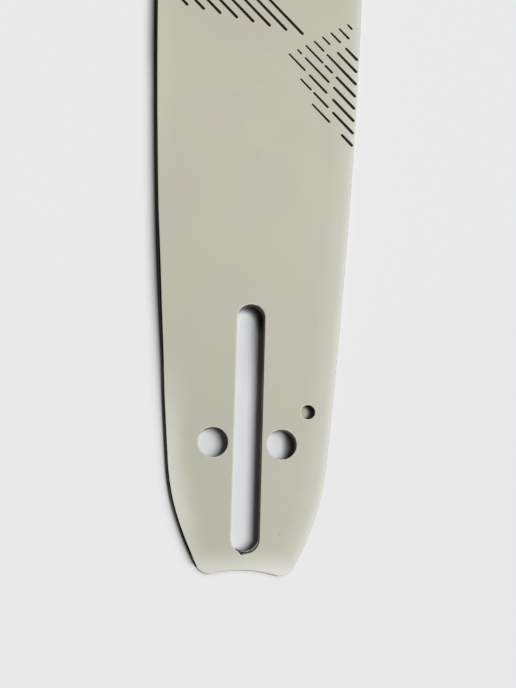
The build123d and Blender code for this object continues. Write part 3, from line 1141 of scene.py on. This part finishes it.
LIT_SPRAY_SHIFT = (-0.0012, 0.0002)  # overspray below an oil hole lies this far off its axis, where light falls through the hole: a painted pool of light
SPRAY_RUN = 0.0014, 0.0021  # full out to the first radius, gone at the second
LIP_SPRAY_RUN, LIP_SPRAY = 0.0009, 0.5  # the groove's lip has less, gone at this distance from the edge


def inner_face(colours):
    """Inner face of a side plate: dark scale made near black as painted shade, overspray at the groove's lip, and
    under each oil hole a pale spot where light falls through it (painted light).
    """
    finish = Finish("inner_face", colours.dark_steel)
    lines, patches = finish.grain(stretch=(1.0, 0.08, 1.0), per_metre=800.0)
    x, y, _ = finish.place.axes()
    wander = patches.spread(low=0.6, high=1.4)
    lip = (finish.edge_distance() / wander).fade(one_at=0.0, zero_at=LIP_SPRAY_RUN) * LIP_SPRAY
    oil_x, oil_y, _ = MOUNTS["oil_inlet_front"]["pos_m"]
    off_spot = span(abs(x) - (abs(oil_x) + LIT_SPRAY_SHIFT[0]), abs(y) - (oil_y + LIT_SPRAY_SHIFT[1]))
    film = lines.spread(low=0.1, high=0.5).mix(colours.paint, colours.dark_steel)
    # painted shade: the scale is near black, which deepens the shade seen through the oil holes
    scale = lines.spread(low=0.7, high=1.0).mix(colours.dark_steel, colours.shade_brown_black)
    tone = lip.at_least(off_spot.fade(*SPRAY_RUN)).mix(scale, film)
    return finish.tooled(tone, lines, rough=(0.45, 0.7), relief=(0.15, 0.00003))


CHIP_SHADE_RUN = -0.0369, -0.0362  # painted shade in the chip: along the core plate, black from the first back, clear before the second


def core_steel(colours):
    """Rolled core plate: dark scale with rolling lines, rubbed patches, and black painted as shade in the chip at
    the slot's torn end.
    """
    finish = Finish("core_steel", colours.dark_steel, metallic=0.7)
    lines, patches = finish.grain(stretch=(1.0, 0.06, 1.0), per_metre=1100.0)
    _, y, _ = finish.place.axes()
    tone = patches.fade(one_at=0.66, zero_at=0.48).mix(colours.dark_steel, colours.steel)
    tone = lines.spread(low=0.0, high=0.6).mix(tone, colours.dark_steel)
    shade_black = y.fade(*CHIP_SHADE_RUN) * finish.place.noise(per_metre=2200.0).fade(one_at=0.44, zero_at=0.60)
    return finish.tooled(shade_black.mix(tone, colours.shade_black), lines, rough=(0.40, 0.65), relief=(0.2, 0.00003))


def turned_steel(name, colours, tint, rough):
    """Hardened steel turned round the sprocket's axis: ring lines, and temper colours that come in from the
    first of two radii to the second.
    """
    finish = Finish(name, colours.steel, metallic=1.0)
    x, y, _ = finish.place.axes()
    radius = span(x, y - NOSE_Y)
    rings = radius.rings(per_metre=5200.0)
    clear, full = tint
    patches = finish.place.noise(per_metre=180.0).spread(low=0.45, high=1.25)
    heat = radius.fade(one_at=full, zero_at=clear) * patches
    tone = rings.spread(low=0.0, high=0.35).mix(finish.tempered(heat, colours), colours.dark_steel)
    return finish.tooled(tone, rings, rough, relief=(0.15, 0.00002))


OIL_SHARE = 0.5  # of dark where the rollers are oily


def roller_steel(colours):
    """Ground bearing rollers: bright, with fine lengthwise lines and a film of oil in patches."""
    finish = Finish("roller_steel", colours.steel, metallic=1.0)
    lines, patches = finish.grain(stretch=(1.0, 1.0, 0.1), per_metre=2500.0)
    oil = patches.fade(one_at=0.68, zero_at=0.45) * OIL_SHARE
    tone = oil.mix(colours.steel, colours.dark_steel)
    return finish.tooled(tone, lines, rough=(0.16, 0.34), relief=(0.1, 0.00001))


SEAT_RADIUS = 0.00248, 0.00230  # a rivet's head is dark at the first radius and bright inside the second


def rivet_steel(colours):
    """Rivets ground flush: fine lines along the bar over faint rings, dark at the edge of each seat."""
    finish = Finish("rivet_steel", colours.steel, metallic=0.9)
    radius = finish.attribute("ring")
    grain, _ = finish.grain(stretch=(1.0, 0.06, 1.0), per_metre=3600.0)
    lines = (radius.rings(per_metre=4200.0) + grain) * 0.5
    tone = lines.spread(low=0.0, high=0.9).mix(colours.steel, colours.dark_steel)
    tone = radius.fade(*SEAT_RADIUS).mix(tone, colours.dark_steel)
    return finish.tooled(tone, lines, rough=(0.32, 0.55), relief=(0.25, 0.00003))


INK_THIN = 0.05  # share of paint that shows where the ink is thin


def hatch_ink(colours):
    """Screen-printed ink: nearly black, thinner in small spots where the paint's grain shows through."""
    finish = Finish("hatch_ink", colours.ink, specular_ior_level=0.06)
    thin = finish.place.noise(per_metre=3200.0).fade(one_at=0.78, zero_at=0.55) * INK_THIN
    rough = finish.place.noise(per_metre=900.0).spread(low=0.38, high=0.6)
    return finish.join(base_color=thin.mix(colours.ink, colours.paint), roughness=rough)


NIB_FOOT, NIB_FOOT_SHARE = 0.00003, 0.6  # a nib's dark foot is gone at this height above the face


def nib_paint(colours):
    """Paint over a speck of dust: the plate's paint, darker where it gathered round the speck's foot."""
    finish = Finish("nib_paint", colours.paint_darker)
    _, _, z = finish.place.axes()
    foot = z.fade(one_at=OUTER_FACE, zero_at=OUTER_FACE + NIB_FOOT) * NIB_FOOT_SHARE
    rough = finish.place.noise(per_metre=900.0).spread(low=0.40, high=0.54)
    return finish.join(base_color=foot.mix(colours.paint, colours.dark_steel), roughness=rough)


def torn_lip(colours):
    """Burr: torn steel with crumbs of paint on its crest, and black beside it as painted shade."""
    finish = Finish("torn_lip", colours.dark_steel)
    crumbs = finish.place.noise(per_metre=2600.0).fade(one_at=0.56, zero_at=0.42)
    crest = finish.attribute("crest").fade(one_at=0.75, zero_at=0.30)
    # painted shade: black beside the crest
    tone = crest.mix(colours.shade_black, crumbs.mix(colours.dark_steel, colours.paint))
    rough = finish.place.noise(per_metre=4000.0).spread(low=0.45, high=0.75)
    relief = crumbs.bump(strength=0.4, distance=0.00005)
    return finish.join(base_color=tone, roughness=rough, normal=relief)


BLACK = (0.0, 0.0, 0.0)

# The floor's own glow
GLOW_TURN = 0.075, -0.020  # along the bar, it changes to the tail's between these
GLOW_PAST, GLOW_PAST_RUNS = (-0.0425, -0.0400), 4  # behind the tail it is so many runs further on

# Shade on the floor beside the bar
CONTACT_RUN, CONTACT = 0.0012, 0.12  # all round, by a share that is gone at this distance
SHADOW_RUN, SHADOW = 0.0045, 0.30  # and the same for the longer shadow along the front half's left edge
SHADOW_TURN = 0.122, 0.104  # which comes in between these, along the bar
SHADOW_MID, SHADOW_MID_RUN, SHADOW_MID_SHARE = 0.050, (0.006, 0.024), 0.35  # and a little round the first
EDGE_LINE_RUN, EDGE_LINE = (-0.0002, -0.0009), 0.92  # darkest close to the tail half's left edge

# Shade on the floor under the bar
SLOT_SHADE_AT = (-0.0023, 0.0317)  # where the light throws the middle of the slot's front end
SLOT_SHADE_REACH = 0.0053, 0.0024  # full shade at the first distance from there, none at the second
SLOT_SHADE_RUN, SLOT_SHADE = (0.0330, 0.0240), 0.85  # along the bar, that shade fades out between these
SIDE_SHADE_Y, SIDE_SHADE_X, SIDE_SHADE = (0.034, 0.008), (0.0030, -0.0030), 0.42  # at the slot's right side
HOLE_SHADE_X, HOLE_SHADE = (0.0128, 0.0101), 0.68  # and on the right in the right hole


def shade_beside(x, y, distance):
    """Share of black on the floor outside the bar."""
    contact = distance.fade(one_at=0.0, zero_at=-CONTACT_RUN) * CONTACT
    lesser = abs(y - SHADOW_MID).fade(*SHADOW_MID_RUN) * SHADOW_MID_SHARE
    shadow = y.fade(*SHADOW_TURN).at_least(lesser) * (x < 0.0)
    shadow = shadow * distance.fade(one_at=0.0, zero_at=-SHADOW_RUN) * SHADOW
    line = x.fade(*LEFT_SHADE_SIDE) * by_holes(y) * distance.fade(*EDGE_LINE_RUN)
    return (shadow + contact).at_least(line * EDGE_LINE)


def shade_below(x, y, holes):
    """Share of black on the floor inside the bar's outline, for the slot and for the holes."""
    in_slot = y.fade(*SIDE_SHADE_Y) * x.fade(*SIDE_SHADE_X) * SIDE_SHADE
    side = holes.choose(in_slot, x.fade(*HOLE_SHADE_X) * HOLE_SHADE)
    from_end = span(x - SLOT_SHADE_AT[0], (y - SLOT_SHADE_AT[1]).at_least(0.0))
    thrown = from_end.fade(*SLOT_SHADE_REACH) * y.fade(*SLOT_SHADE_RUN)
    return side.at_least(thrown * SLOT_SHADE)


def floor_glow(y, distance, stage):
    """Share of the floor's light that is its own: one less e to the power of minus distance over run."""
    away = y.fade(*GLOW_TURN)
    start = away.spread(stage.tail_glow_from, stage.glow_from)
    past = y.fade(*GLOW_PAST) * (GLOW_PAST_RUNS * stage.glow_run)
    outside = (distance * -1.0 - start).at_least(0.0)
    gone = ((outside + past) / -stage.glow_run).math("EXPONENT")
    return (1.0 - gone) * away.spread(stage.tail_glow, stage.glow)


def floor_finish(colours, stage):
    """Pale matt floor, with painted shade under the bar and beside it. Outside the bar part of its light is its
    own glow, which keeps the bar's shadow short and soft.
    """
    finish = Finish(
        "floor_finish", colours.floor, roughness=0.95, specular_ior_level=0.0, emission_strength=1.0
    )
    distance = finish.edge_distance()
    x, y, _ = finish.place.axes()
    holes = abs(x) > HOLE_X
    beside = shade_beside(x, y, distance).mix(colours.floor, BLACK)
    below = shade_below(x, y, holes).mix(holes.mix(colours.floor_below_shade, colours.floor_shade), BLACK)
    tone = (distance > 0.0).mix(beside, below)
    glow = floor_glow(y, distance, stage)
    return finish.join(base_color=glow.mix(tone, BLACK), emission_color=glow.mix(BLACK, tone))


def finish_node(name, material):
    """Gives a node of the packed model its material."""
    node = frame["nodes"].get(name)
    if node is None:
        raise RuntimeError(f"the packed model has no {name}")
    for slot in node.material_slots:
        slot.material = material
    if not node.material_slots:
        node.data.materials.append(material)


class GUIDEBAR_OT_side_plates(Operator):
    """Makes both painted side plates with rounded rims"""

    bl_idname = "guide_bar.side_plates"
    bl_label = "Side Plates"

    def execute(self, context):
        scene = context.scene
        sizes, nose, colours = scene.guide_bar_plate, scene.guide_bar_nose, scene.guide_bar_colours
        build_edge_distance(sizes)
        build_specks()
        build_grain()
        build_temper()
        finish = [
            plate_paint(colours, sizes),
            rail_rim(colours),
            rail_steel(colours),
            cut_wall(colours),
            inner_face(colours),
        ]
        points, faces, zones, rim_highlights = plate_surface(sizes, nose, torn=True)
        # the rim attribute marks the rims that get the painted highlight
        front = new_object("front_plate", points, faces, finish, "side_plate_paint", zones, rim=rim_highlights)
        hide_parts("front_side_plate")
        points, faces, zones, rim_highlights = plate_surface(sizes, nose, torn=False)
        turned_over = points * (-1, 1, -1) + (0.0, 0.0, OUTER_FACE)
        back = new_object("back_plate", turned_over, faces, finish, "side_plate_paint", zones, rim=rim_highlights)
        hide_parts("back_side_plate")
        return {"FINISHED"}


TOOTH_TINT = 0.70, 1.02  # temper colours come in between these shares of the radius of the teeth's tips
RACE_TINT = 1.0, 2.0  # beyond the race, which stays bright


class GUIDEBAR_OT_inner_steel(Operator):
    """Finishes the core plate, the nose sprocket and its bearing"""

    bl_idname = "guide_bar.inner_steel"
    bl_label = "Core, Sprocket and Bearing"

    def execute(self, context):
        colours = context.scene.guide_bar_colours
        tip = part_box("nose_sprocket")[1].y - NOSE_Y
        tooth_tint, race_tint = ([at * tip for at in tint] for tint in (TOOTH_TINT, RACE_TINT))
        finish_node("core_plate", core_steel(colours))
        finish_node("nose_sprocket", turned_steel("sprocket_steel", colours, tooth_tint, rough=(0.28, 0.5)))
        finish_node("bearing_race", turned_steel("race_steel", colours, race_tint, rough=(0.14, 0.3)))
        rollers = roller_steel(colours)
        for name in ROLLERS:
            finish_node(name, rollers)
        return {"FINISHED"}


class GUIDEBAR_OT_rivets(Operator):
    """Sets the peened rivets in the nose"""

    bl_idname = "guide_bar.rivets"
    bl_label = "Nose Rivets"

    def execute(self, context):
        points, faces, rings = rivet_surface(context.scene.guide_bar_nose)
        finish = [rivet_steel(context.scene.guide_bar_colours)]
        rivets = new_object("peened_rivets", points, faces, finish, "rivet_steel", ring=rings)
        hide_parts("nose_rivets")
        return {"FINISHED"}


class GUIDEBAR_OT_slot_burr(Operator):
    """Turns up the burr at the slot's torn end"""

    bl_idname = "guide_bar.slot_burr"
    bl_label = "Slot Burr"

    def execute(self, context):
        points, faces, crest = lip_surface(context.scene.guide_bar_plate)
        finish = [torn_lip(context.scene.guide_bar_colours)]
        new_object("slot_burr", points, faces, finish, "side_plate_paint", crest=crest)
        return {"FINISHED"}


class GUIDEBAR_OT_nibs(Operator):
    """Scatters nibs where dust was painted over"""

    bl_idname = "guide_bar.nibs"
    bl_label = "Paint Nibs"

    def execute(self, context):
        scene = context.scene
        points, faces = nib_surface(scene.guide_bar_plate, scene.guide_bar_nibs)
        new_object("paint_nibs", points, faces, [nib_paint(scene.guide_bar_colours)], "side_plate_paint")
        return {"FINISHED"}


class GUIDEBAR_OT_hatch(Operator):
    """Prints the hatch on the front face"""

    bl_idname = "guide_bar.hatch"
    bl_label = "Printed Hatch"

    def execute(self, context):
        scene = context.scene
        starts, ends, half = hatch_dashes(scene.guide_bar_plate, scene.guide_bar_print)
        points, faces = ink_surface(starts, ends, half, scene.guide_bar_print.film)
        new_object("printed_hatch", points, faces, [hatch_ink(scene.guide_bar_colours)], "side_plate_paint")
        return {"FINISHED"}


FLOOR_REACH, FLOOR_DROP = 3.0, 0.00002  # half the floor's side, and its depth below the bar
NEAR_CLIP = 0.01
WHITE = (1.0, 1.0, 1.0)


class GUIDEBAR_OT_stage(Operator):
    """Lays the floor and sets up the camera and the light"""

    bl_idname = "guide_bar.stage"
    bl_label = "Floor, Camera and Light"

    def execute(self, context):
        scene = context.scene
        stage = scene.guide_bar_stage
        self.lay_floor(scene, stage)
        self.set_camera(scene, stage)
        self.set_key(scene, stage)
        self.set_world(scene, stage)
        scene.view_settings.view_transform = "Standard"
        return {"FINISHED"}

    def lay_floor(self, scene, stage):
        """A flat square under the bar."""
        corners = np.array([(-1, -1), (1, -1), (1, 1), (-1, 1)]) * FLOOR_REACH
        points = np.column_stack((corners, np.full(len(corners), -FLOOR_DROP)))
        mesh = bpy.data.meshes.new("floor")
        mesh.from_pydata(points.tolist(), [], [(0, 1, 2, 3)])
        mesh.materials.append(floor_finish(scene.guide_bar_colours, stage))
        floor = bpy.data.objects.new("floor", mesh)
        scene.collection.objects.link(floor)

    def set_camera(self, scene, stage):
        """The camera's axis leans from the vertical, and its up side is +Y, turned by the roll."""
        back = Vector((tan(stage.lean_x), tan(stage.lean_y), 1.0)).normalized()
        up = Vector((0.0, 1.0, 0.0))
        up = (up - back * up.dot(back)).normalized()
        right = up.cross(back)
        rolled_right = cos(stage.roll) * right + sin(stage.roll) * up
        rolled_up = cos(stage.roll) * up - sin(stage.roll) * right
        facing = Matrix((rolled_right, rolled_up, back)).transposed()
        lens = bpy.data.cameras.new("camera")
        lens.lens = stage.lens
        lens.clip_start = NEAR_CLIP
        camera = bpy.data.objects.new("camera", lens)
        camera.matrix_world = Matrix.Translation(stage.eye) @ facing.to_4x4()
        scene.collection.objects.link(camera)
        scene.camera = camera

    def set_key(self, scene, stage):
        """A wide soft light from one side, like a window."""
        light = bpy.data.lights.new("window_light", "SUN")
        light.energy = stage.key_strength
        light.angle = stage.key_spread
        key = bpy.data.objects.new("window_light", light)
        level = cos(stage.key_height)
        towards = Vector(
            (level * cos(stage.key_azimuth), level * sin(stage.key_azimuth), sin(stage.key_height))
        )
        key.rotation_euler = towards.to_track_quat("Z", "Y").to_euler()
        scene.collection.objects.link(key)

    def set_world(self, scene, stage):
        """An even fill, and a pale backdrop for the camera and for reflections."""
        world = bpy.data.worlds.new("pale_room")
        world.use_nodes = True
        tree = world.node_tree
        path = wires(tree.nodes.new("ShaderNodeLightPath"))
        seen = path["Is Camera Ray"].at_least(path["Is Glossy Ray"]).at_least(path["Is Transmission Ray"])
        background = tree.nodes["Background"].inputs
        fill(background["Color"], WHITE)
        fill(background["Strength"], seen.choose(stage.fill, stage.backdrop))
        scene.world = world


class GUIDEBAR_PT_panel(Panel):
    """Lists the steps that finish the guide bar"""

    bl_idname = "GUIDEBAR_PT_panel"
    bl_label = "Guide Bar"
    bl_space_type = "VIEW_3D"
    bl_region_type = "UI"
    bl_category = "Guide Bar"

    def draw(self, context):
        for step in STEPS:
            self.layout.operator(step.bl_idname)
        for name, kind in SETTINGS.items():
            box = self.layout.box()
            box.label(text=kind.__doc__)
            group = getattr(context.scene, name)
            for key in kind.__annotations__:
                box.prop(group, key)


SETTINGS = {
    "guide_bar_plate": GuideBarPlateSizes,
    "guide_bar_nose": GuideBarNoseSizes,
    "guide_bar_print": GuideBarPrintSizes,
    "guide_bar_nibs": GuideBarNibSizes,
    "guide_bar_colours": GuideBarColours,
    "guide_bar_stage": GuideBarStage,
}
STEPS = (
    GUIDEBAR_OT_side_plates,
    GUIDEBAR_OT_inner_steel,
    GUIDEBAR_OT_rivets,
    GUIDEBAR_OT_slot_burr,
    GUIDEBAR_OT_nibs,
    GUIDEBAR_OT_hatch,
    GUIDEBAR_OT_stage,
)
CLASSES = (*SETTINGS.values(), *STEPS, GUIDEBAR_PT_panel)


def register():
    for kind in CLASSES:
        bpy.utils.register_class(kind)
    for name, kind in SETTINGS.items():
        setattr(bpy.types.Scene, name, PointerProperty(type=kind))


def unregister():
    for name in SETTINGS:
        delattr(bpy.types.Scene, name)
    for kind in reversed(CLASSES):
        bpy.utils.unregister_class(kind)


def main():
    """Finishes the whole bar and sets up its stage."""
    register()
    bpy.ops.guide_bar.side_plates()
    bpy.ops.guide_bar.inner_steel()
    bpy.ops.guide_bar.rivets()
    bpy.ops.guide_bar.slot_burr()
    bpy.ops.guide_bar.nibs()
    bpy.ops.guide_bar.hatch()
    bpy.ops.guide_bar.stage()


if __name__ == "__main__":
    main()
